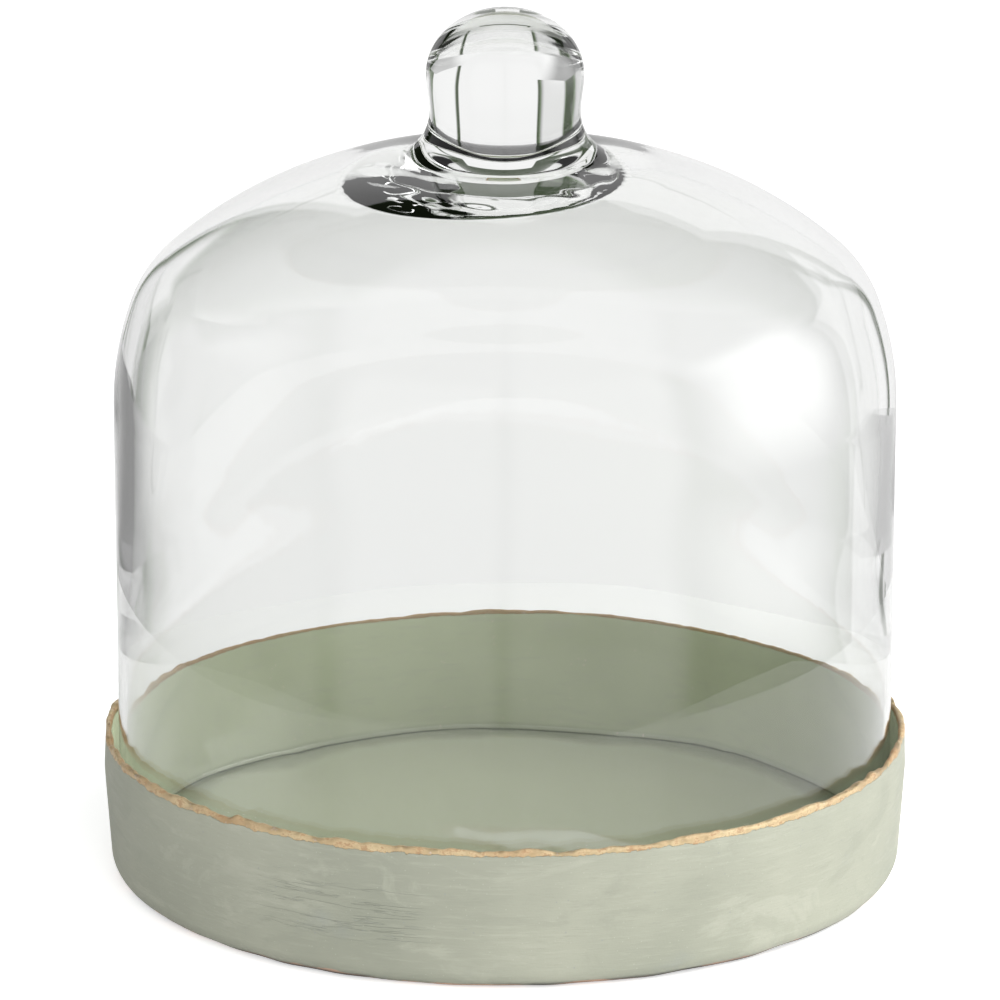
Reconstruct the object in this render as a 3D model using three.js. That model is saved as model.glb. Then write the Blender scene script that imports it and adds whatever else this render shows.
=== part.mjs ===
// Glass garden cloche: a blown glass bell with a grip knob on its crown,
// standing in a shallow glazed clay tray with a gilt rim.
// Millimetres, +Z up. The origin is the centre of the tray's flat underside.
import * as THREE from 'three';

// Flats round every turned shape, a multiple of four so that the widest points lie on X and Y.
const SIDES = 48;
// Gap left between two pieces that touch.
const TOUCH_GAP = 0.3;

// Tray
const TRAY_HEIGHT = 50;
const TRAY_WIDEST_RADIUS = 140;
const TRAY_WIDEST_HEIGHT = 36;
const TRAY_RIM_RADIUS = 139.5;
const TRAY_RIM_THICKNESS = 2.1;
const TRAY_LOWER_RADIUS = 138;
const TRAY_FOOT_CORNER = 7;
const TRAY_FLOOR = 3;
const TRAY_WALL_THICKNESS = 2.4;
const TRAY_INNER_CORNER = 2;

// Bell: a straight wall, then shoulder and crown arcs that run into each other.
// An arc's slope is how far the surface has turned from upright, in degrees.
const BELL_RADIUS = 134.8;
const BELL_WALL_TOP = 166;
const BELL_LIP_ROUND = 1.5;
const UPPER_WALL_ARC = { radius: 100.6, endSlope: 20.4 };
const SHOULDER_ARC = { radius: 39.2, endSlope: 49.8 };
const CROWN_ARC = { radius: 154.4, endSlope: 90 };
// The glass is thin from the lip to the first height, thickens up to the second, then slowly up to the crown.
const GLASS_AT_LIP = 3;
const THIN_GLASS_TOP = 70;
const GLASS_AT_WALL = 6.4;
const THICK_GLASS_START = 120;
const GLASS_AT_CROWN = 7;

// Knob: a flared base on the crown, a slight neck and an egg-shaped head.
const KNOB_FLARE_RADIUS = 15;
const KNOB_FLARE_TURN = 70;
const KNOB_NECK_RADIUS = 25.9;
const KNOB_NECK_HEIGHT = 268;
const KNOB_WIDEST_RADIUS = 27;
const KNOB_WIDEST_HEIGHT = 280.4;
const KNOB_TOP_HEIGHT = 303;

const QUARTER_TURN = Math.PI / 2;

// Points of an outline hold the distance from the axis as x and the height as y.
function point(radius, height) {
  return new THREE.Vector2(radius, height);
}

// Points of an elliptical arc round a centre, from one angle to another in degrees, 0 pointing outwards.
function arc(centre, across, up, fromDegrees, toDegrees, steps) {
  const points = [];
  for (let i = 0; i <= steps; i += 1) {
    const angle = THREE.MathUtils.degToRad(THREE.MathUtils.lerp(fromDegrees, toDegrees, i / steps));
    points.push(point(centre.x + across * Math.cos(angle), centre.y + up * Math.sin(angle)));
  }
  return points;
}

// Outline with each point that repeats the one before it left out.
function withoutRepeats(points) {
  return points.filter((p, i) => i === 0 || p.distanceTo(points[i - 1]) > 1e-6);
}

// A closed body turned round the Z axis from an outline that starts and ends on the axis.
function turned(name, outline, material) {
  const geometry = new THREE.LatheGeometry(withoutRepeats(outline), SIDES);
  geometry.rotateX(QUARTER_TURN);
  const mesh = new THREE.Mesh(geometry, material);
  mesh.name = name;
  return mesh;
}

// How thick the bell's glass is at a height.
function glassAt(height) {
  if (height > BELL_WALL_TOP) {
    return THREE.MathUtils.mapLinear(height, BELL_WALL_TOP, domeTop(), GLASS_AT_WALL, GLASS_AT_CROWN);
  }
  const share = THREE.MathUtils.mapLinear(height, THIN_GLASS_TOP, THICK_GLASS_START, 0, 1);
  return THREE.MathUtils.lerp(GLASS_AT_LIP, GLASS_AT_WALL, THREE.MathUtils.clamp(share, 0, 1));
}

// The bell's dome from the top of its straight wall to its crown, moved outwards by an offset at each height.
function domeCurve(offsetAt) {
  const stepsOfArc = [3, 5, 7];
  const points = [];
  let start = point(BELL_RADIUS, BELL_WALL_TOP);
  let slope = 0;
  [UPPER_WALL_ARC, SHOULDER_ARC, CROWN_ARC].forEach((bend, index) => {
    const turn = THREE.MathUtils.degToRad(slope);
    const centre = point(start.x - bend.radius * Math.cos(turn), start.y - bend.radius * Math.sin(turn));
    const onCurve = arc(centre, bend.radius, bend.radius, slope, bend.endSlope, stepsOfArc[index]);
    onCurve.forEach((p) => {
      points.push(p.clone().add(p.clone().sub(centre).setLength(offsetAt(p.y))));
    });
    start = onCurve[onCurve.length - 1];
    slope = bend.endSlope;
  });
  return points;
}

// Height of the crown: the sum of what each arc climbs.
function domeTop() {
  let height = BELL_WALL_TOP;
  let slope = 0;
  [UPPER_WALL_ARC, SHOULDER_ARC, CROWN_ARC].forEach((bend) => {
    const from = THREE.MathUtils.degToRad(slope);
    const to = THREE.MathUtils.degToRad(bend.endSlope);
    height += bend.radius * (Math.sin(to) - Math.sin(from));
    slope = bend.endSlope;
  });
  return height;
}

// Shallow dish: flat underside, rounded foot, slightly bellied wall and a rounded rim.
function tray() {
  const cornerCentre = point(TRAY_LOWER_RADIUS - TRAY_FOOT_CORNER, TRAY_FOOT_CORNER);
  const rimHalf = TRAY_RIM_THICKNESS / 2;
  const rimCentre = point(TRAY_RIM_RADIUS - rimHalf, TRAY_HEIGHT - rimHalf);
  const innerRadius = TRAY_LOWER_RADIUS - TRAY_WALL_THICKNESS;
  const innerCentre = point(innerRadius - TRAY_INNER_CORNER, TRAY_FLOOR + TRAY_INNER_CORNER);
  const outline = [
    point(0, 0),
    ...arc(cornerCentre, TRAY_FOOT_CORNER, TRAY_FOOT_CORNER, -90, 0, 4),
    point(TRAY_WIDEST_RADIUS, TRAY_WIDEST_HEIGHT),
    ...arc(rimCentre, rimHalf, rimHalf, 0, 180, 4),
    point(TRAY_WIDEST_RADIUS - TRAY_WALL_THICKNESS, TRAY_WIDEST_HEIGHT),
    ...arc(innerCentre, TRAY_INNER_CORNER, TRAY_INNER_CORNER, 0, -90, 3),
    point(0, TRAY_FLOOR),
  ];
  const glaze = new THREE.MeshStandardMaterial({ color: 0xa9ad92, roughness: 0.35, metalness: 0 });
  return turned('tray', outline, glaze);
}

// Open-mouthed bell with a rounded lip.
function glassBell(glass) {
  const lipHeight = TRAY_FLOOR + TOUCH_GAP;
  const lipCentre = point(BELL_RADIUS - BELL_LIP_ROUND, lipHeight + BELL_LIP_ROUND);
  const outer = domeCurve(() => 0);
  const inner = domeCurve((height) => -glassAt(height));
  const outline = [
    point(0, domeTop() - GLASS_AT_CROWN),
    ...inner.reverse(),
    point(BELL_RADIUS - GLASS_AT_WALL, THICK_GLASS_START),
    point(BELL_RADIUS - GLASS_AT_LIP, THIN_GLASS_TOP),
    ...arc(lipCentre, BELL_LIP_ROUND, BELL_LIP_ROUND, -180, 0, 4),
    ...outer,
    point(0, domeTop()),
  ];
  return turned('glass_bell', outline, glass);
}

// Solid grip. Its underside follows the crown at the touching gap, out to the lower edge of its flare.
function glassKnob(glass) {
  const flareCentre = point(KNOB_NECK_RADIUS + KNOB_FLARE_RADIUS, KNOB_NECK_HEIGHT);
  const flare = arc(flareCentre, KNOB_FLARE_RADIUS, KNOB_FLARE_RADIUS, 180 + KNOB_FLARE_TURN, 180, 6);
  const baseRadius = flare[0].x;
  const underside = domeCurve(() => TOUCH_GAP).reverse();
  const seat = underside.filter((p) => p.x < baseRadius);
  const rimOfSeat = underside.find((p) => p.x >= baseRadius);
  const lastOfSeat = seat[seat.length - 1];
  const share = (baseRadius - lastOfSeat.x) / (rimOfSeat.x - lastOfSeat.x);
  const edge = lastOfSeat.clone().lerp(rimOfSeat, share);
  const headUp = KNOB_TOP_HEIGHT - KNOB_WIDEST_HEIGHT;
  const neck = [];
  const neckSteps = 4;
  for (let i = 1; i < neckSteps; i += 1) {
    const swell = (1 - Math.cos(Math.PI * i / neckSteps)) / 2;
    neck.push(point(
      THREE.MathUtils.lerp(KNOB_NECK_RADIUS, KNOB_WIDEST_RADIUS, swell),
      THREE.MathUtils.lerp(KNOB_NECK_HEIGHT, KNOB_WIDEST_HEIGHT, i / neckSteps),
    ));
  }
  const outline = [
    point(0, seat[0].y),
    ...seat,
    edge,
    ...flare,
    ...neck,
    ...arc(point(0, KNOB_WIDEST_HEIGHT), KNOB_WIDEST_RADIUS, headUp, 0, 90, 8),
  ];
  const last = outline[outline.length - 1];
  last.x = 0;
  return turned('glass_knob', outline, glass);
}

function cloche() {
  const glass = new THREE.MeshStandardMaterial({
    color: 0xe3e8e2, roughness: 0.03, metalness: 0, transparent: true, opacity: 0.35,
  });
  const group = new THREE.Group();
  group.add(glassBell(glass), glassKnob(glass));
  return group;
}

const clocheAndTray = new THREE.Group();
clocheAndTray.add(tray(), cloche());

export default clocheAndTray;
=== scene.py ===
import math

import bpy
import numpy as np
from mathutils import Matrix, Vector

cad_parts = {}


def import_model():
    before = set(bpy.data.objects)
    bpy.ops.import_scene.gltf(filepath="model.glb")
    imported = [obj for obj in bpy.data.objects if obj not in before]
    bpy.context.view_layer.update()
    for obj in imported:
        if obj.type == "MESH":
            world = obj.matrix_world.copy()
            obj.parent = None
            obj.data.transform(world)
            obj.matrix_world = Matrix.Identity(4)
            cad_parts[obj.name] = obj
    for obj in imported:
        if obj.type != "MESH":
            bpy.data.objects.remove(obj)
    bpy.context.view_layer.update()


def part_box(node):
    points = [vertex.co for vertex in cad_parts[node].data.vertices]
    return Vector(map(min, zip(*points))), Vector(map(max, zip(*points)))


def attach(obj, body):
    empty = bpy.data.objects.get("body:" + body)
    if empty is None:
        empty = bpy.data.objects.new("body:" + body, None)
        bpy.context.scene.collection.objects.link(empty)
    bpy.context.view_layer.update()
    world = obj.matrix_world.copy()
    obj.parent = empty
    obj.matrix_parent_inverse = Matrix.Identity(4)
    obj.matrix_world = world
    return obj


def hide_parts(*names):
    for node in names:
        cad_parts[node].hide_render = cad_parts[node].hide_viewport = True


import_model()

# Glass garden cloche: a blown glass bell with a fused knob, in a glazed clay tray with a worn gilt rim.
# Metres, +Z up, in the frame of the CAD parts.

TRAY_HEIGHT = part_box("tray")[1].z
LIP_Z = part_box("glass_bell")[0].z
KNOB_TOP_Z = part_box("glass_knob")[1].z

MM = 0.001
TAU = 2 * math.pi

# ---------------------------------------------------------------- outlines

def arc(centre, across, up, start, end, steps):
    """Points (radius, height) on an ellipse round centre, between two angles in degrees."""
    turn = np.radians(np.linspace(start, end, steps + 1))
    return np.c_[centre[0] + across * np.cos(turn), centre[1] + up * np.sin(turn)]


def line(start, end, steps):
    """Points from start to end, both included."""
    share = np.linspace(0, 1, steps + 1)[:, None]
    return np.array(start) * (1 - share) + np.array(end) * share


def joined(*parts):
    """One outline from several, with a point that repeats its neighbour left out."""
    points = np.concatenate(parts)
    keep = np.r_[True, np.linalg.norm(np.diff(points, axis=0), axis=1) > 1e-7]
    return points[keep]


def resampled(points, step):
    """The same outline with points about step apart."""
    lengths = np.r_[0, np.cumsum(np.linalg.norm(np.diff(points, axis=0), axis=1))]
    at = np.linspace(0, lengths[-1], max(2, int(round(lengths[-1] / step)) + 1))
    return np.c_[np.interp(at, lengths, points[:, 0]), np.interp(at, lengths, points[:, 1])]


def turned(name, outline, around, shape):
    """A closed mesh turned round Z. outline starts and ends on the axis; shape moves its points."""
    rings = outline[1:-1]
    angle = np.arange(around) * TAU / around
    radius = np.repeat(rings[:, 0], around)
    height = np.repeat(rings[:, 1], around)
    theta = np.tile(angle, len(rings))
    radius, height = shape(radius, height, theta, np.repeat(np.arange(len(rings)), around))
    ring_points = np.c_[radius * np.cos(theta), radius * np.sin(theta), height]
    first = ring_points[:around].mean(axis=0) * (0, 0, 1)
    last = ring_points[-around:].mean(axis=0) * (0, 0, 1)
    points = np.concatenate([[first], ring_points, [last]])
    mesh = bpy.data.meshes.new(name)
    i = np.arange(around)
    j = (i + 1) % around
    faces = [(0, 1 + b, 1 + a) for a, b in zip(i, j)]
    for ring in range(len(rings) - 1):
        low = 1 + ring * around
        high = low + around
        faces += [(low + a, low + b, high + b, high + a) for a, b in zip(i, j)]
    low = 1 + (len(rings) - 1) * around
    faces += [(low + a, low + b, len(points) - 1) for a, b in zip(i, j)]
    mesh.from_pydata(points.tolist(), [], faces)
    mesh.update()
    mesh.shade_smooth()
    piece = bpy.data.objects.new(name, mesh)
    bpy.context.scene.collection.objects.link(piece)
    return piece


# ---------------------------------------------------------------- uneven surfaces

def waves(seed, count, longest, shortest):
    """Smooth random function of a point on a body: a sum of plane waves, between about -1 and 1."""
    rng = np.random.default_rng(seed)
    direction = rng.normal(size=(count, 3))
    direction /= np.linalg.norm(direction, axis=1)[:, None]
    length = np.exp(rng.uniform(math.log(shortest), math.log(longest), count))
    phase = rng.uniform(0, TAU, count)

    def value(radius, height, theta):
        points = np.c_[radius * np.cos(theta), radius * np.sin(theta), height]
        total = np.zeros(len(points))
        for d, l, p in zip(direction, length, phase):
            total += np.sin(points @ d * TAU / l + p)
        return total / math.sqrt(count)

    return value


def smooth(value, low, high):
    """0 below low, 1 above high, with an easy slope between."""
    share = np.clip((value - low) / (high - low), 0, 1)
    return share * share * (3 - 2 * share)


# ---------------------------------------------------------------- glass

BELL_RADIUS = 134.8 * MM
WALL_TOP = 166 * MM
CROWN_BENDS = ((100.6 * MM, 20.4), (39.2 * MM, 49.8), (154.4 * MM, 90.0))


def dome(offset):
    """Outline of the dome from the top of the straight wall to the crown, moved out by offset(height)."""
    points = []
    start = np.array([BELL_RADIUS, WALL_TOP])
    slope = 0.0
    for radius, end in CROWN_BENDS:
        centre = start - radius * np.array([math.cos(math.radians(slope)), math.sin(math.radians(slope))])
        on_curve = arc(centre, radius, radius, slope, end, 60)
        out = (on_curve - centre) / radius
        points.append(on_curve + out * offset(on_curve[:, 1])[:, None])
        start = on_curve[-1]
        slope = end
    return joined(*points)


LIP_ROUND = 1.5 * MM
LIP_GLASS = 3.0 * MM
SHOULDER_GLASS = 6.4 * MM
CROWN_GLASS = 7.0 * MM
SIDE_SWELLING_START = 76 * MM
FRONT_SWELLING_RISE = 54 * MM


def swelling(z, start):
    """How much thicker than at the lip the wall is at a height, when it starts to thicken at start."""
    return (SHOULDER_GLASS - LIP_GLASS) * smooth(z, start, start + 50 * MM)


def thickness(z):
    """How thick the glass is at a height at the left and right: thin at the lip, thick from halfway up."""
    towards_crown = smooth(z, 200 * MM, 250 * MM) * (CROWN_GLASS - SHOULDER_GLASS)
    return LIP_GLASS + swelling(z, SIDE_SWELLING_START) + towards_crown


NECK_RADIUS = 25.9 * MM
WIDEST_RADIUS = 27 * MM
WIDEST_Z = 280.4 * MM
CROWN_TOP = 253.8 * MM
CROWN_RADIUS = CROWN_BENDS[-1][0]
CROWN_FLAT = 17.4 * MM
ROOT_REACH = 60 * MM
ROOT_STEPS = 14
FILLET_STEPS = 22
NECK_STEPS = 18
HOLLOW_RADIUS = 22 * MM
HOLLOW_EDGE = 27 * MM
HOLLOW_TOP = 246.5 * MM
LUMP_RADIUS = 47 * MM
LUMP_DEPTH = 7 * MM
LUMP_CENTRE_X = -7 * MM
LUMP_CENTRE_Y = -16 * MM
LUMP_SQUASH = 1.08
RIPPLE_DEPTH = 0.14 * MM
INNER_WOBBLE = 0.15 * MM
OUTER_WOBBLE = 0.1 * MM


def glass_outline():
    """Inside of the bell down to its lip, up the outside to ROOT_REACH from the axis, then the knob's rings.

    Gives the outline and how many of its rings are inside, and how many before the knob's root."""
    lip = np.array([BELL_RADIUS - LIP_ROUND, LIP_Z + LIP_ROUND])
    inside = dome(lambda z: -thickness(z))[::-1]
    outside = dome(lambda z: 0 * z)
    outside = outside[outside[:, 0] > ROOT_REACH]
    head = arc((0, WIDEST_Z), WIDEST_RADIUS, KNOB_TOP_Z - WIDEST_Z, 0, 90, 60)
    head[-1, 0] = 0
    wall_z = np.linspace(WALL_TOP, lip[1], 60)
    wall_in = np.c_[BELL_RADIUS - thickness(wall_z), wall_z]
    lip_arc = arc(lip, LIP_ROUND, LIP_ROUND, -180, 0, 10)
    wall_out = line(lip_arc[-1], outside[0], 40)
    inner = resampled(joined([[0, inside[0, 1]]], inside, wall_in), 1.5 * MM)
    outer = resampled(joined(wall_out, outside), 1.5 * MM)
    steps = ROOT_STEPS + FILLET_STEPS + NECK_STEPS
    root = line((ROOT_REACH, CROWN_TOP), (NECK_RADIUS, WIDEST_Z), steps)[1:-1]
    before = joined(inner, lip_arc, outer)
    return np.concatenate([before, root, head]), len(inner), len(before)


def root_ring(step, theta):
    """Radius and height on the crown, the fillet or the neck of the knob, step rings in from ROOT_REACH.

    The fillet is wide at the knob's sides, tighter in front and tightest behind, where the crown dips."""
    back = np.clip(np.sin(theta), 0, 1) ** 2
    front = np.clip(-np.sin(theta), 0, 1) ** 2
    fillet = (15 - 12 * back - 9.5 * front) * MM
    dip = (5 * back + 2 * front) * MM
    centre_r = NECK_RADIUS + fillet
    tilt = np.arcsin((centre_r - CROWN_FLAT) / (CROWN_RADIUS + fillet))
    centre_z = CROWN_TOP - dip - CROWN_RADIUS + (CROWN_RADIUS + fillet) * np.cos(tilt)
    touch = CROWN_FLAT + CROWN_RADIUS * np.sin(tilt)
    share = np.clip(step / ROOT_STEPS, 0, 1)
    crown_r = ROOT_REACH + (touch - ROOT_REACH) * share
    above_centre = np.sqrt(CROWN_RADIUS ** 2 - (crown_r - CROWN_FLAT) ** 2)
    crown_z = CROWN_TOP - CROWN_RADIUS + above_centre - dip * smooth(share, 0, 1)
    turn = (math.pi / 2 - tilt) * (1 - np.clip((step - ROOT_STEPS) / FILLET_STEPS, 0, 1))
    fillet_r = centre_r - fillet * np.cos(turn)
    fillet_z = centre_z - fillet * np.sin(turn)
    climb = np.clip((step - ROOT_STEPS - FILLET_STEPS) / NECK_STEPS, 0, 1)
    neck_r = NECK_RADIUS + (WIDEST_RADIUS - NECK_RADIUS) * (1 - np.cos(math.pi * climb)) / 2
    neck_z = centre_z + (WIDEST_Z - centre_z) * climb
    on_crown = step <= ROOT_STEPS
    on_neck = step > ROOT_STEPS + FILLET_STEPS
    radius = np.where(on_crown, crown_r, np.where(on_neck, neck_r, fillet_r))
    height = np.where(on_crown, crown_z, np.where(on_neck, neck_z, fillet_z))
    return radius, height


def cloche_glass():
    """The bell and its fused knob as one mesh, with a lump of glass and a hollow under the knob."""
    outline, inner_rings, root_start = glass_outline()
    inner_waves = waves(11, 14, 160 * MM, 60 * MM)
    outer_waves = waves(5, 10, 200 * MM, 70 * MM)
    ripples = waves(23, 12, 18 * MM, 9 * MM)
    root_rings = ROOT_STEPS + FILLET_STEPS + NECK_STEPS - 1

    def shape(radius, height, theta, ring):
        inside = ring < inner_rings
        step = ring + 1 - (root_start - 1)
        at_root = (step > 0) & (step <= root_rings)
        root_r, root_z = root_ring(step.astype(float), theta)
        radius = np.where(at_root, root_r, radius)
        height = np.where(at_root, root_z, height)
        start = SIDE_SWELLING_START + FRONT_SWELLING_RISE * np.sin(theta) ** 2
        radius = radius + inside * (swelling(height, SIDE_SWELLING_START) - swelling(height, start))
        under_crown = inside & (height > 150 * MM)
        x = radius * np.cos(theta) - LUMP_CENTRE_X
        y = (radius * np.sin(theta) - LUMP_CENTRE_Y) * LUMP_SQUASH
        from_lump = np.hypot(x, y) / LUMP_RADIUS
        lump = np.where(under_crown, np.clip(1 - from_lump ** 2, 0, 1), 0)
        rippled = RIPPLE_DEPTH * smooth(lump, 0, 0.3) * ripples(radius, height, theta)
        height = height - LUMP_DEPTH * lump + rippled
        hollow = np.where(under_crown, 1 - smooth(radius, HOLLOW_RADIUS, HOLLOW_EDGE), 0)
        height = height + (HOLLOW_TOP - height) * hollow
        fade = smooth(height, 6 * MM, 30 * MM) * smooth(radius, 28 * MM, 60 * MM)
        inner_wobble = INNER_WOBBLE * inner_waves(radius, height, theta)
        outer_wobble = OUTER_WOBBLE * outer_waves(radius, height, theta)
        return radius + np.where(inside, inner_wobble, outer_wobble) * fade, height

    return turned("cloche_glass", outline, 240, shape)


def glass_material():
    """Clear glass that lets most of the lamps' light through to the tray."""
    material = bpy.data.materials.new("clear_glass")
    material.use_nodes = True
    nodes = material.node_tree.nodes
    links = material.node_tree.links
    shader = nodes["Principled BSDF"]
    shader.inputs["Base Color"].default_value = (0.985, 0.99, 0.983, 1)
    shader.inputs["Roughness"].default_value = 0.0
    shader.inputs["IOR"].default_value = 1.5
    shader.inputs["Transmission Weight"].default_value = 1.0
    path = nodes.new("ShaderNodeLightPath")
    clear = nodes.new("ShaderNodeBsdfTransparent")
    clear.inputs["Color"].default_value = (0.95, 0.96, 0.95, 1)
    mix = nodes.new("ShaderNodeMixShader")
    links.new(path.outputs["Is Shadow Ray"], mix.inputs[0])
    links.new(shader.outputs[0], mix.inputs[1])
    links.new(clear.outputs[0], mix.inputs[2])
    links.new(mix.outputs[0], nodes["Material Output"].inputs["Surface"])
    return material


# ---------------------------------------------------------------- tray

TRAY_AROUND = 720
TRAY_WIDEST = 140 * MM
TRAY_WALL = 2.4 * MM
WIDEST_TRAY_Z = 36 * MM
FLOOR_Z = 3 * MM
MIDDLE_AT_FOOT = 136.1 * MM
MIDDLE_LEAN = 0.072
MIDDLE_RETURN = 0.027
CREASE_RADIUS = 133.2 * MM
CREASE_HALF_WIDTH = 0.5 * MM


def tray_outline():
    """From the centre of the underside round the foot, wall, rim and inside to the centre of the floor."""
    foot = arc((131 * MM, 7 * MM), 7 * MM, 7 * MM, -90, 0, 14)
    rim = arc((138.45 * MM, 48.95 * MM), 1.05 * MM, 1.05 * MM, 0, 180, 12)
    inner = arc((133.9 * MM, 4.7 * MM), 1.7 * MM, 1.7 * MM, 0, -90, 8)
    crease = line(inner[-1], (CREASE_RADIUS - 2 * CREASE_HALF_WIDTH, FLOOR_Z), 10)
    return joined(
        resampled(line((0, 0), foot[0], 2), 3 * MM),
        foot,
        resampled(np.array([foot[-1], (TRAY_WIDEST, WIDEST_TRAY_Z), rim[0]]), 0.8 * MM),
        rim,
        resampled(np.array([rim[-1], (TRAY_WIDEST - TRAY_WALL, WIDEST_TRAY_Z), inner[0]]), 1.2 * MM),
        inner,
        crease,
        resampled(line(crease[-1], (0, FLOOR_Z), 2), 2 * MM),
    )


def tray_body():
    """The hand-made dish: a wavy wall, a nicked rim, an uneven foot and a crease where wall meets floor."""
    slow = waves(31, 12, 160 * MM, 60 * MM)
    dents = waves(32, 18, 45 * MM, 18 * MM)
    nicks = waves(33, 26, 12 * MM, 3.5 * MM)
    edge_swell = waves(34, 16, 40 * MM, 9 * MM)
    foot_swell = waves(35, 14, 70 * MM, 14 * MM)
    floor_swell = waves(36, 12, 90 * MM, 30 * MM)
    crease_path = waves(37, 12, 60 * MM, 15 * MM)

    def shape(radius, height, theta, ring):
        rim = smooth(height, TRAY_HEIGHT - 9 * MM, TRAY_HEIGHT - 1 * MM)
        edge = smooth(height, TRAY_HEIGHT - 4 * MM, TRAY_HEIGHT - 1 * MM)
        wall = smooth(radius, 120 * MM, 134 * MM) * smooth(height, 8 * MM, 20 * MM)
        low = (1 - smooth(height, 1 * MM, 9 * MM)) * (height < 2.5 * MM)
        foot = smooth(radius, 126 * MM, 133 * MM) * low
        on_floor = np.abs(height - FLOOR_Z) < 0.01 * MM
        above = np.maximum(height - WIDEST_TRAY_Z, 0)
        outer = radius > MIDDLE_AT_FOOT + (height - above) * MIDDLE_LEAN - above * MIDDLE_RETURN
        flat = np.full_like(radius, 138 * MM)
        level = np.zeros_like(radius)
        sway = slow(flat, level, theta)
        lift = 0.25 * MM * sway + 0.4 * MM * edge_swell(flat, level, theta)
        lift += 0.3 * MM * nicks(flat, level, theta)
        new_height = height + rim * (lift - 0.3 * MM)
        push = wall * (0.24 * MM * sway + 0.1 * MM * dents(radius, height, theta))
        push += edge * np.where(outer, 1, -0.6) * 0.22 * MM * edge_swell(flat, level + 0.05, theta)
        push += edge * np.where(outer, 1, -1) * 0.08 * MM * nicks(flat, level + 0.05, theta)
        push += foot * 0.5 * MM * (foot_swell(flat, level, theta) - 0.8)
        path = CREASE_RADIUS + 0.25 * MM * crease_path(flat, level, theta)
        groove = np.clip(1 - ((radius - path) / CREASE_HALF_WIDTH) ** 2, 0, 1)
        new_height -= np.where(on_floor, 0.7 * MM * groove, 0)
        open_floor = 1 - smooth(radius, 122 * MM, 131 * MM)
        dished = 0.9 * MM * (1 - smooth(radius, 0, 48 * MM))
        swell = 0.2 * MM * open_floor * floor_swell(radius, height, theta)
        new_height += np.where(on_floor, swell - dished, 0)
        return radius + push, np.maximum(new_height, 0)

    return turned("clay_tray", tray_outline(), TRAY_AROUND, shape)


class Surface:
    """A Principled material and short ways to add the nodes that feed it."""

    def __init__(self, name):
        self.material = bpy.data.materials.new(name)
        self.material.use_nodes = True
        self.nodes = self.material.node_tree.nodes
        self.links = self.material.node_tree.links
        self.shader = self.nodes["Principled BSDF"]
        self.place = self.nodes.new("ShaderNodeTexCoord").outputs["Object"]

    def math(self, operation, *values):
        return math_node(self.nodes, self.links, operation, *values)

    def feed(self, socket, value):
        self.links.new(value, self.shader.inputs[socket])

    def tint(self, share, under, over, amount):
        """Colour over laid on under, by share times amount."""
        return self.blend(self.math("MULTIPLY", share, amount), under, over)

    def noise(self, repeats, stretch=(1, 1, 1), detail=3, rough=0.55, twist=0.0, shift=(0, 0, 0)):
        """Noise with about so many repeats per metre, stretched along X, Y or Z."""
        mapping = self.nodes.new("ShaderNodeMapping")
        mapping.inputs["Scale"].default_value = tuple(1 / s for s in stretch)
        mapping.inputs["Location"].default_value = shift
        self.links.new(self.place, mapping.inputs["Vector"])
        node = self.nodes.new("ShaderNodeTexNoise")
        self.links.new(mapping.outputs[0], node.inputs["Vector"])
        node.inputs["Scale"].default_value = repeats
        node.inputs["Detail"].default_value = detail
        node.inputs["Roughness"].default_value = rough
        node.inputs["Distortion"].default_value = twist
        return node.outputs[0]

    def spots(self, repeats, size):
        """1 inside scattered spots, 0 between them."""
        node = self.nodes.new("ShaderNodeTexVoronoi")
        self.links.new(self.place, node.inputs["Vector"])
        node.inputs["Scale"].default_value = repeats
        return self.step(node.outputs["Distance"], size, size * 0.6)

    def step(self, value, low, high):
        """0 at low and beyond, 1 at high and beyond, smooth between. high may be the smaller."""
        node = self.nodes.new("ShaderNodeMapRange")
        node.interpolation_type = "SMOOTHSTEP"
        node.inputs["From Min"].default_value = low
        node.inputs["From Max"].default_value = high
        self.links.new(value, node.inputs["Value"])
        return node.outputs[0]

    def span(self, value, low, high):
        """Noise from its usual 0.3 to 0.7 spread out to low to high."""
        node = self.nodes.new("ShaderNodeMapRange")
        node.inputs["From Min"].default_value = 0.3
        node.inputs["From Max"].default_value = 0.7
        node.inputs["To Min"].default_value = low
        node.inputs["To Max"].default_value = high
        self.links.new(value, node.inputs["Value"])
        return node.outputs[0]

    def blend(self, share, under, over):
        """Colour over where share is 1 and under where it is 0."""
        node = self.nodes.new("ShaderNodeMix")
        node.data_type = "RGBA"
        sockets = [s for s in node.inputs if s.enabled]
        for socket, value in zip(sockets, (share, under, over)):
            if isinstance(value, tuple):
                socket.default_value = (*value, 1)
            else:
                self.links.new(value, socket)
        return [s for s in node.outputs if s.enabled][0]

    def bump(self, height, depth):
        """Normal of a surface raised by height times depth."""
        node = self.nodes.new("ShaderNodeBump")
        node.inputs["Distance"].default_value = depth
        self.links.new(height, node.inputs["Height"])
        return node.outputs[0]


OUTER_SAGE = (0.36, 0.368, 0.295)
OUTER_SAGE_DARK = (0.28, 0.292, 0.232)
OUTER_SAGE_PALE = (0.45, 0.455, 0.375)
STAIN = (0.27, 0.29, 0.27)
# The inside wall's sage, light and dark: a lighter copy of the glaze, painted light against the shade the
# glass casts inside.
INNER_WALL_PAINTED_LIGHT = (0.55, 0.59, 0.42)
INNER_WALL_DARK_PAINTED_LIGHT = (0.47, 0.505, 0.35)
# The floor's sage: a darker copy of the inside glaze, painted shade on the floor.
FLOOR_SAGE_PAINTED_SHADE = (0.37, 0.395, 0.28)
# Painted shade: a darker band on the floor just inside the crease, the same all the way round.
PAINTED_SHADE_BY_CREASE = (0.17, 0.19, 0.13)
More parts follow.
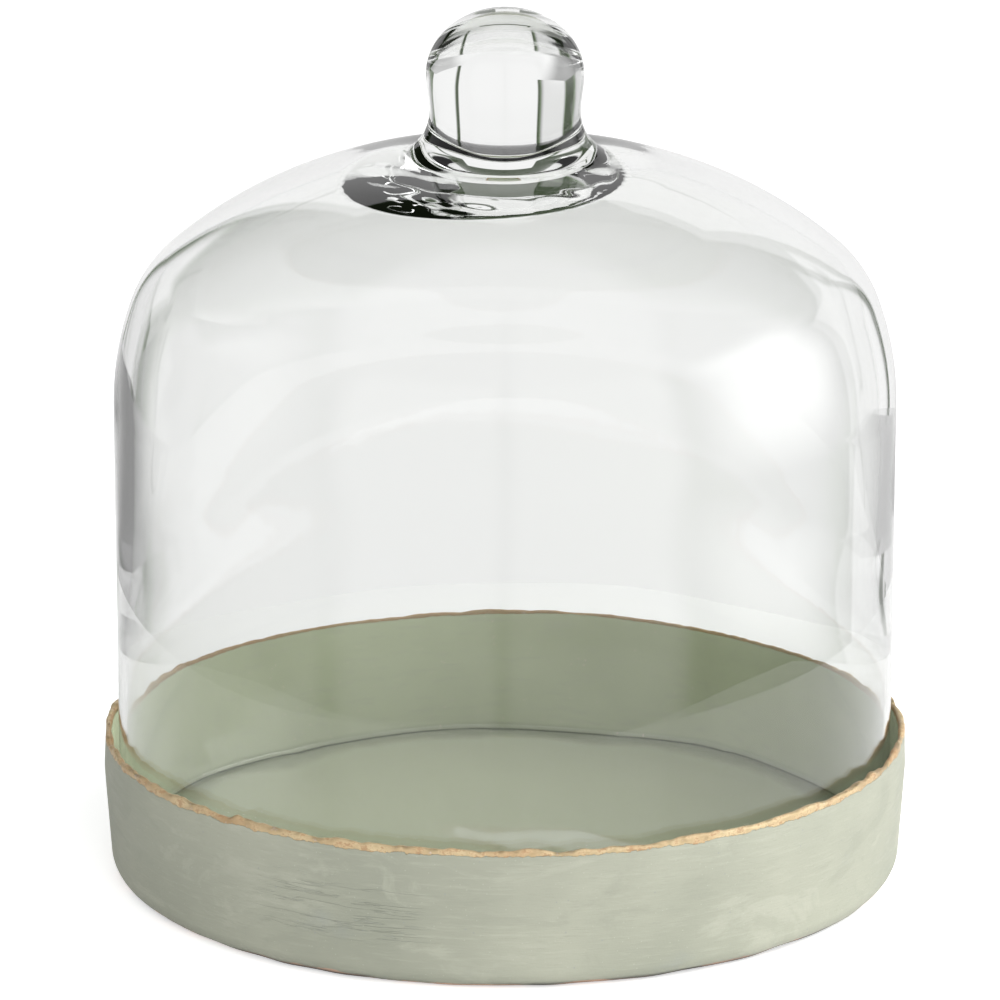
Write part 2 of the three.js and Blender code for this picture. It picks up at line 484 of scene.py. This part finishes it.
# Painted shade: a near-black line down in the crease groove.
PAINTED_CREASE_SHADE = (0.10, 0.12, 0.07)
GILT = (0.52, 0.36, 0.20)
GILT_PALE = (0.69, 0.57, 0.35)
GILT_WORN = (0.34, 0.19, 0.09)
GILT_SOFTNESS = 0.08 * MM
BARE_CLAY = (0.55, 0.36, 0.26)
# Near-black for patches at the bottom of the foot.
FOOT_NEAR_BLACK = (0.06, 0.06, 0.05)
FLECK = (0.78, 0.66, 0.60)


def tray_material():
    """Brushed satin sage glaze outside, glossy inside with painted light on the wall and painted shade on the
    floor and in the crease, bare clay and near-black patches at the foot and a worn gilt rim.
    """
    s = Surface("tray_glaze")
    axes = s.nodes.new("ShaderNodeSeparateXYZ")
    s.links.new(s.place, axes.inputs[0])
    x, y, z = axes.outputs
    radius = s.math("SQRT", s.math("ADD", s.math("MULTIPLY", x, x), s.math("MULTIPLY", y, y)))
    above = s.math("MAXIMUM", s.math("SUBTRACT", z, WIDEST_TRAY_Z), 0.0)
    below = s.math("MINIMUM", z, WIDEST_TRAY_Z)
    upper_middle = s.math("MULTIPLY_ADD", above, -MIDDLE_RETURN, MIDDLE_AT_FOOT)
    middle = s.math("MULTIPLY_ADD", below, MIDDLE_LEAN, upper_middle)
    past_middle = s.math("SUBTRACT", radius, middle)
    outer_wall = s.math("GREATER_THAN", past_middle, 0.0)
    foot = s.math("MULTIPLY", s.math("LESS_THAN", z, 2.7 * MM), s.math("GREATER_THAN", radius, 134.2 * MM))
    underside = s.math("LESS_THAN", z, 1.5 * MM)
    outer = s.math("MAXIMUM", outer_wall, s.math("MAXIMUM", underside, foot))

    def squared(value, centre):
        gap = s.math("SUBTRACT", value, centre)
        return s.math("MULTIPLY", gap, gap)

    clouds = s.noise(14, detail=4)
    streaks = s.noise(60, stretch=(1, 1, 0.09), detail=4, rough=0.65)
    fine_streaks = s.noise(180, stretch=(1, 1, 0.12), detail=3, rough=0.7)
    grain = s.noise(1400, detail=2)
    outside = s.blend(s.span(clouds, 0, 1), OUTER_SAGE_DARK, OUTER_SAGE)
    outside = s.tint(s.step(streaks, 0.5, 0.72), outside, OUTER_SAGE_PALE, 0.25)
    washes = s.noise(19, stretch=(1, 1, 0.45), detail=6, rough=0.65, twist=0.8, shift=(4, 2, 7))
    outside = s.tint(s.step(washes, 0.53, 0.62), outside, OUTER_SAGE_PALE, 0.32)
    outside = s.tint(s.step(washes, 0.45, 0.36), outside, OUTER_SAGE_DARK, 0.4)
    outside = s.tint(s.step(fine_streaks, 0.46, 0.3), outside, OUTER_SAGE_DARK, 0.35)
    stains = s.noise(22, stretch=(1, 1, 0.5), detail=5, twist=0.6, shift=(3, 1, 0))
    stain_patch = s.step(stains, 0.58, 0.72)
    stain_low = s.math("MULTIPLY", stain_patch, s.step(z, 34 * MM, 18 * MM))
    outside = s.tint(stain_low, outside, STAIN, 0.4)
    tear_noise = s.noise(15, stretch=(1, 1, 0.08), detail=4, rough=0.62, twist=0.2)
    tears = s.math("ABSOLUTE", s.math("SUBTRACT", tear_noise, 0.5))
    from_tears = s.math("SQRT", s.math("ADD", squared(x, -52 * MM), squared(y, -128 * MM)))
    warped = s.math("MULTIPLY_ADD", s.noise(30, detail=3), 60 * MM, from_tears)
    tear_zone = s.step(warped, 75 * MM, 55 * MM)
    tear_band = s.math("MULTIPLY", s.step(z, 12 * MM, 18 * MM), s.step(z, 40 * MM, 32 * MM))
    tear = s.math("MULTIPLY", s.step(tears, 0.01, 0.002), s.math("MULTIPLY", tear_zone, tear_band))
    outside = s.tint(tear, outside, STAIN, 0.2)
    outside = s.tint(s.spots(420, 0.11), outside, OUTER_SAGE_PALE, 0.5)
    outside = s.tint(s.spots(170, 0.07), outside, STAIN, 0.6)

    # Inside wall: the sage glaze painted lighter, as painted light.
    inside = s.blend(s.span(s.noise(16, detail=4, shift=(2, 5, 1)), 0, 1), INNER_WALL_DARK_PAINTED_LIGHT, INNER_WALL_PAINTED_LIGHT)
    brushed = s.noise(70, stretch=(1, 0.35, 0.14), detail=4, rough=0.6)
    inside = s.tint(s.step(brushed, 0.5, 0.7), inside, OUTER_SAGE_PALE, 0.3)
    crease_gap = s.math("ABSOLUTE", s.math("SUBTRACT", radius, CREASE_RADIUS))
    # Painted shade: a dark line in the crease, over the small groove in the mesh.
    painted_crease_line = s.math("MULTIPLY", s.step(crease_gap, 1.1 * MM, 0.25 * MM), s.step(z, 3.1 * MM, 2.85 * MM))
    # Floor: the inside glaze painted darker, as painted shade.
    inside = s.tint(s.step(z, 6 * MM, 3.5 * MM), inside, FLOOR_SAGE_PAINTED_SHADE, 0.85)
    # Painted shade on the floor along the crease, ragged at its inner edge and darkest at the crease.
    painted_shade_from = s.math("MULTIPLY_ADD", s.span(s.noise(24, detail=4), -1, 1), 4 * MM, 119 * MM)
    into_painted_shade = s.math("MULTIPLY", s.math("SUBTRACT", radius, painted_shade_from), 1 / (10 * MM))
    painted_shade_near_crease = s.math("MULTIPLY", s.step(into_painted_shade, 0.0, 1.0), s.step(z, 4.2 * MM, 3.5 * MM))
    inside = s.tint(painted_shade_near_crease, inside, PAINTED_SHADE_BY_CREASE, 0.6)
    # The painted shade line in the crease goes on top of the inside colour.
    inside = s.blend(painted_crease_line, inside, PAINTED_CREASE_SHADE)
    inside = s.tint(s.spots(300, 0.1), inside, FLECK, 0.7)
    colour = s.blend(outer, inside, outside)

    clay_edge = s.math("MULTIPLY_ADD", s.span(s.noise(35, detail=5), -1, 1), 2.2 * MM, 1.6 * MM)
    clay = s.math("MULTIPLY", s.math("GREATER_THAN", s.math("SUBTRACT", clay_edge, z), 0), outer)
    colour = s.blend(clay, colour, BARE_CLAY)
    # Near-black in patches along the lowest 3 mm of the foot, outside only.
    foot_dark_patch = s.step(s.noise(26, detail=5, shift=(1, 8, 2)), 0.4, 0.55)
    foot_darkening = s.math("MULTIPLY", foot_dark_patch, s.step(z, 3.2 * MM, 0.8 * MM))
    colour = s.blend(s.math("MULTIPLY", foot_darkening, outer), colour, FOOT_NEAR_BLACK)

    ragged = s.span(s.noise(95, detail=7, rough=0.78), -1, 1)
    outer_edge = s.math("MULTIPLY_ADD", ragged, 1.0 * MM, TRAY_HEIGHT - 2.5 * MM)
    inner_edge = s.math("MULTIPLY_ADD", ragged, 0.5 * MM, TRAY_HEIGHT - 2.3 * MM)
    lower = s.math("MULTIPLY_ADD", outer_wall, s.math("SUBTRACT", outer_edge, inner_edge), inner_edge)
    above_edge = s.math("SUBTRACT", z, lower)
    gilded = s.step(above_edge, -GILT_SOFTNESS, GILT_SOFTNESS)
    wear = s.noise(260, stretch=(1, 1, 0.6), detail=6, rough=0.75)
    gold = s.blend(s.span(s.noise(50, detail=4), 0, 1), GILT, GILT_PALE)
    gold = s.tint(s.step(wear, 0.51, 0.39), gold, GILT_WORN, 0.75)
    inner_lip = s.step(past_middle, 0.1 * MM, -0.5 * MM)
    gold = s.tint(inner_lip, gold, GILT_WORN, 0.5)
    gold = s.tint(s.step(wear, 0.6, 0.7), gold, FLECK, 0.8)
    colour = s.blend(gilded, colour, gold)
    s.feed("Base Color", colour)

    satin = s.span(streaks, 0.42, 0.6)
    on_floor = s.step(z, 6 * MM, 4 * MM)
    glossy = s.math("MULTIPLY_ADD", on_floor, -0.1, s.span(s.noise(30, detail=3), 0.11, 0.19))
    rough = s.math("MULTIPLY_ADD", outer, s.math("SUBTRACT", satin, glossy), glossy)
    gold_rough = s.span(wear, 0.6, 0.32)
    rough = s.math("MULTIPLY_ADD", gilded, s.math("SUBTRACT", gold_rough, rough), rough)
    s.feed("Roughness", rough)
    s.feed("Metallic", s.math("MULTIPLY", gilded, s.step(wear, 0.42, 0.6)))

    brush_marks = s.math("ADD", s.math("MULTIPLY", streaks, 0.5), s.math("MULTIPLY", fine_streaks, 0.3))
    on_outside = s.math("MULTIPLY", outer, brush_marks)
    relief = s.math("ADD", on_outside, s.math("MULTIPLY", s.math("MULTIPLY", grain, outer), 0.12))
    relief = s.math("ADD", relief, s.math("MULTIPLY", s.math("MULTIPLY", wear, gilded), 1.2))
    relief = s.math("SUBTRACT", relief, s.math("MULTIPLY", tear, 0.45))
    relief = s.math("ADD", relief, s.math("MULTIPLY", gilded, 0.5))
    s.links.new(s.bump(relief, 0.25 * MM), s.shader.inputs["Normal"])
    return s.material


# ---------------------------------------------------------------- stage

CAMERA_TARGET = Vector((-1.7 * MM, 0, 129.8 * MM))
CAMERA_RISE = math.radians(15.95)
CAMERA_AWAY = 2154 * MM
CAMERA_LENS = 223.9


def camera():
    data = bpy.data.cameras.new("camera")
    data.sensor_width = 36
    data.lens = CAMERA_LENS
    data.clip_end = 20
    view = bpy.data.objects.new("camera", data)
    view.location = CAMERA_TARGET + CAMERA_AWAY * Vector((0, -math.cos(CAMERA_RISE), math.sin(CAMERA_RISE)))
    view.rotation_euler = (math.pi / 2 - CAMERA_RISE, 0, 0)
    bpy.context.scene.collection.objects.link(view)
    bpy.context.scene.camera = view


# The studio as the glass and the glaze see it.
# Each zone: name, azimuth from and to, elevation from and to, edge, brightness. Angles are in degrees;
# azimuth 0 is behind the object and 90 to its right. A later zone covers the ones before it.
# Outside the zones the room is dim and tinted. The camera itself sees plain white.
STUDIO = (
    ("back_panel", -17, 26, -32.5, 37, 0.6, 0.93),
    ("left_back_panel", -38, -19.5, -24, 16, 2.0, 0.8),
    ("right_back_panel", 28.5, 56, -24, 24, 1.0, 0.95),
    ("left_wall", -125, -52, -30, 40, 5, 0.55),
    ("window", 66, 112, -8, 46, 15, 2.7),
    ("room_front_left", -180, -128, -20, 60, 6, 0.9),
    ("room_front_right", 126, 180, -20, 60, 6, 0.9),
    ("ceiling", -180, 180, 62, 90, 4, 0.75),
    ("right_ceiling", 50, 180, 38, 90, 8, 0.75),
    ("left_ceiling", -180, -52, 38, 90, 8, 0.62),
)
ROOM = 0.07
ROOM_TINT = (0.72, 1.0, 0.55)
ROOM_TINT_FADE = 0.3
TABLE_RADIUS = 400 * MM
FLOOR_HALF = 6
CARD_LEVEL = -2 * MM
CARD_FAR_X = 750 * MM


def math_node(nodes, links, operation, *values):
    """A Math node whose inputs are numbers or other nodes' outputs; gives its output."""
    node = nodes.new("ShaderNodeMath")
    node.operation = operation
    for socket, value in zip(node.inputs, values):
        if isinstance(value, (int, float)):
            socket.default_value = value
        else:
            links.new(value, socket)
    return node.outputs[0]


def between(nodes, links, value, low, high, edge):
    """1 where value lies from low to high, falling to 0 over an edge on either side."""
    rise = nodes.new("ShaderNodeMapRange")
    fall = nodes.new("ShaderNodeMapRange")
    for node, start, end in ((rise, low - edge, low + edge), (fall, high + edge, high - edge)):
        node.interpolation_type = "SMOOTHSTEP"
        node.inputs["From Min"].default_value = start
        node.inputs["From Max"].default_value = end
        links.new(value, node.inputs["Value"])
    return math_node(nodes, links, "MULTIPLY", rise.outputs[0], fall.outputs[0])


def world():
    """The studio as a background made of brightness zones."""
    scene_world = bpy.data.worlds.new("studio")
    scene_world.use_nodes = True
    nodes = scene_world.node_tree.nodes
    links = scene_world.node_tree.links
    back = nodes.get("Background") or nodes.new("ShaderNodeBackground")
    out = nodes.get("World Output") or nodes.new("ShaderNodeOutputWorld")
    links.new(back.outputs[0], out.inputs[0])
    place = nodes.new("ShaderNodeTexCoord").outputs["Generated"]
    axes = nodes.new("ShaderNodeSeparateXYZ")
    links.new(place, axes.inputs[0])
    x, y, z = axes.outputs
    azimuth = math_node(nodes, links, "DEGREES", math_node(nodes, links, "ARCTAN2", x, y))
    elevation = math_node(nodes, links, "DEGREES", math_node(nodes, links, "ARCSINE", z))
    level = ROOM
    for name, left, right, low, high, edge, brightness in STUDIO:
        across = between(nodes, links, azimuth, left, right, edge)
        up = between(nodes, links, elevation, low, high, edge)
        inside = math_node(nodes, links, "MULTIPLY", across, up)
        change = math_node(nodes, links, "SUBTRACT", brightness, level)
        level = math_node(nodes, links, "MULTIPLY_ADD", inside, change, level)
    seen = nodes.new("ShaderNodeLightPath").outputs["Is Camera Ray"]
    white = math_node(nodes, links, "SUBTRACT", 1.0, level)
    level = math_node(nodes, links, "MULTIPLY_ADD", seen, white, level)
    links.new(level, back.inputs["Strength"])
    tint = nodes.new("ShaderNodeMix")
    tint.data_type = "RGBA"
    share, under, over = [socket for socket in tint.inputs if socket.enabled]
    links.new(between(nodes, links, level, ROOM_TINT_FADE, 100, 0.2), share)
    under.default_value = (*ROOM_TINT, 1)
    over.default_value = (1, 1, 1, 1)
    links.new([socket for socket in tint.outputs if socket.enabled][0], back.inputs["Color"])
    bpy.context.scene.world = scene_world


def floor():
    """A plain pale floor. Only its middle, a small table top, is there for reflected and bent rays."""
    mesh = bpy.data.meshes.new("floor")
    corners = [(x * FLOOR_HALF, y * FLOOR_HALF, 0) for x, y in ((-1, -1), (1, -1), (1, 1), (-1, 1))]
    mesh.from_pydata(corners, [], [(0, 1, 2, 3)])
    piece = bpy.data.objects.new("floor", mesh)
    bpy.context.scene.collection.objects.link(piece)
    material = bpy.data.materials.new("floor")
    material.use_nodes = True
    nodes = material.node_tree.nodes
    links = material.node_tree.links
    shader = nodes["Principled BSDF"]
    shader.inputs["Base Color"].default_value = (0.88, 0.88, 0.88, 1)
    shader.inputs["Roughness"].default_value = 0.9
    place = nodes.new("ShaderNodeTexCoord").outputs["Object"]
    length = nodes.new("ShaderNodeVectorMath")
    length.operation = "LENGTH"
    links.new(place, length.inputs[0])
    on_table = math_node(nodes, links, "LESS_THAN", length.outputs["Value"], TABLE_RADIUS)
    seen = nodes.new("ShaderNodeLightPath").outputs["Is Camera Ray"]
    shown = math_node(nodes, links, "MAXIMUM", on_table, seen)
    links.new(math_node(nodes, links, "MULTIPLY", seen, 0.5), shader.inputs["Emission Strength"])
    shader.inputs["Emission Color"].default_value = (1, 1, 1, 1)
    clear = nodes.new("ShaderNodeBsdfTransparent")
    mix = nodes.new("ShaderNodeMixShader")
    links.new(shown, mix.inputs[0])
    links.new(clear.outputs[0], mix.inputs[1])
    links.new(shader.outputs[0], mix.inputs[2])
    links.new(mix.outputs[0], nodes["Material Output"].inputs["Surface"])
    mesh.materials.append(material)


def card(name, side, near, far, brightness):
    """A soft grey card low down to one side (-1 left, 1 right), seen only in the glass and the glaze."""
    mesh = bpy.data.meshes.new(name)
    pivot = side * BELL_RADIUS
    far_x = side * CARD_FAR_X
    plan = ((pivot, near), (far_x, near), (far_x, far), (pivot, far))
    mesh.from_pydata([(x, y, CARD_LEVEL) for x, y in plan], [], [(0, 1, 2, 3)])
    piece = bpy.data.objects.new(name, mesh)
    bpy.context.scene.collection.objects.link(piece)
    material = bpy.data.materials.new(name)
    material.use_nodes = True
    nodes = material.node_tree.nodes
    links = material.node_tree.links
    axes = nodes.new("ShaderNodeSeparateXYZ")
    links.new(nodes.new("ShaderNodeTexCoord").outputs["Object"], axes.inputs[0])
    out = math_node(nodes, links, "MULTIPLY_ADD", axes.outputs[0], side, -BELL_RADIUS)
    turn = math_node(nodes, links, "DEGREES", math_node(nodes, links, "ARCTAN2", out, axes.outputs[1]))
    fade = nodes.new("ShaderNodeMapRange")
    fade.interpolation_type = "SMOOTHSTEP"
    links.new(turn, fade.inputs["Value"])
    fade.inputs["From Min"].default_value = 9
    fade.inputs["From Max"].default_value = 24
    fade.inputs["To Min"].default_value = 0.93
    fade.inputs["To Max"].default_value = brightness
    glow = nodes.new("ShaderNodeEmission")
    links.new(fade.outputs[0], glow.inputs["Strength"])
    links.new(glow.outputs[0], nodes["Material Output"].inputs["Surface"])
    mesh.materials.append(material)
    piece.visible_camera = False
    piece.visible_diffuse = False
    piece.visible_shadow = False


def lamp(name, place, target, width, height, power):
    """A soft rectangular lamp that lights the tray but isn't seen in the glass or the glaze."""
    data = bpy.data.lights.new(name, "AREA")
    data.shape = "RECTANGLE"
    data.size = width
    data.size_y = height
    data.energy = power
    piece = bpy.data.objects.new(name, data)
    piece.location = place
    piece.rotation_euler = (Vector(target) - Vector(place)).to_track_quat("-Z", "Y").to_euler()
    piece.visible_camera = False
    piece.visible_glossy = False
    piece.visible_transmission = False
    bpy.context.scene.collection.objects.link(piece)


bpy.context.scene.view_settings.view_transform = "Standard"
camera()
floor()
world()
card("left_card", -1, 0.23, 0.95, 0.3)
card("right_card", 1, 0.3, 0.6, 0.6)
lamp("window", (1.5, -0.2, 0.95), (0, 0, 0.05), 2.4, 2.0, 33)
lamp("fill", (-0.1, -1.6, 0.95), (0, 0, 0.05), 1.4, 1.2, 14)

glass = cloche_glass()
glass.data.materials.append(glass_material())
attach(glass, "cloche")
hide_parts("glass_bell", "glass_knob")

tray = tray_body()
tray.data.materials.append(tray_material())
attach(tray, "tray")
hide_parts("tray")
